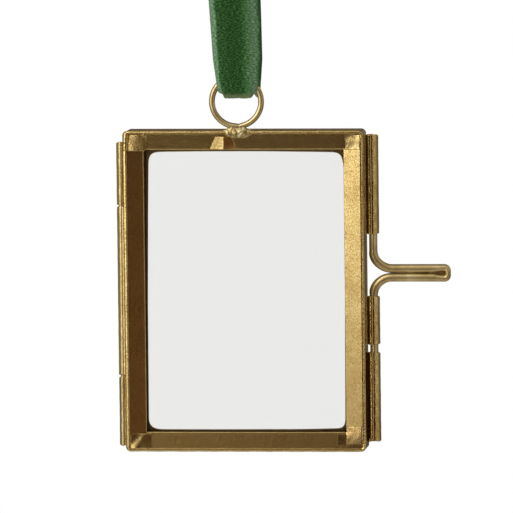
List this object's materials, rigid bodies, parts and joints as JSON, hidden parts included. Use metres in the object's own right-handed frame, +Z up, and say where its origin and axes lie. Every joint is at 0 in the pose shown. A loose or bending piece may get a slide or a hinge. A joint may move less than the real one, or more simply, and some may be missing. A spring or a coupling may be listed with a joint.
{
  "type": "hanging glass picture frame",
  "caption": "Small hanging picture frame: two glazed brass leaves hinged like a book, locked by a bent wire pin, with a ring and a velvet ribbon loop.",
  "frame": {"origin": "inside of the ribbon loop's top, where it rests on its hook", "axes": "+Z up, along the hanging frame; +X to the right as seen from the front, from the hinge to the latch; +Y from the front leaf to the back leaf"},
  "size_m": [0.0835, 0.0111, 0.1934],
  "materials": {
    "brass_sheet": "antiqued, lacquered",
    "brass_wire": "antiqued, drawn",
    "solder": "lumpy, brass-coated",
    "glass": "clear float glass",
    "velvet": "short-pile velvet"
  },
  "bodies": {
    "front_leaf": {"front_frame": "brass_sheet", "front_glass": "glass", "hinge_knuckle_middle": "brass_sheet", "hinge_pin": "brass_wire", "latch_barrel_upper": "brass_sheet", "latch_barrel_short": "brass_sheet", "hanging_ring": "brass_wire", "ring_solder": "solder", "ribbon": "velvet"},
    "back_leaf": {"back_frame": "brass_sheet", "back_glass": "glass", "hinge_knuckle_top": "brass_sheet", "hinge_knuckle_bottom": "brass_sheet", "latch_barrel_lower": "brass_sheet"},
    "latch_pin": {"latch_pin": "brass_wire"}
  },
  "joints": [
    {"name": "back_leaf_hinge", "type": "hinge", "parent": "front_leaf", "child": "back_leaf", "pos_m": [-0.02495, 0.0029, -0.15236], "axis": [0, 0, 1], "range_deg": [0, 180]},
    {"name": "latch_pin_slide", "type": "slide", "parent": "front_leaf", "child": "latch_pin", "axis": [0, 0, 1], "range_m": [0, 0.0037]}
  ]
}
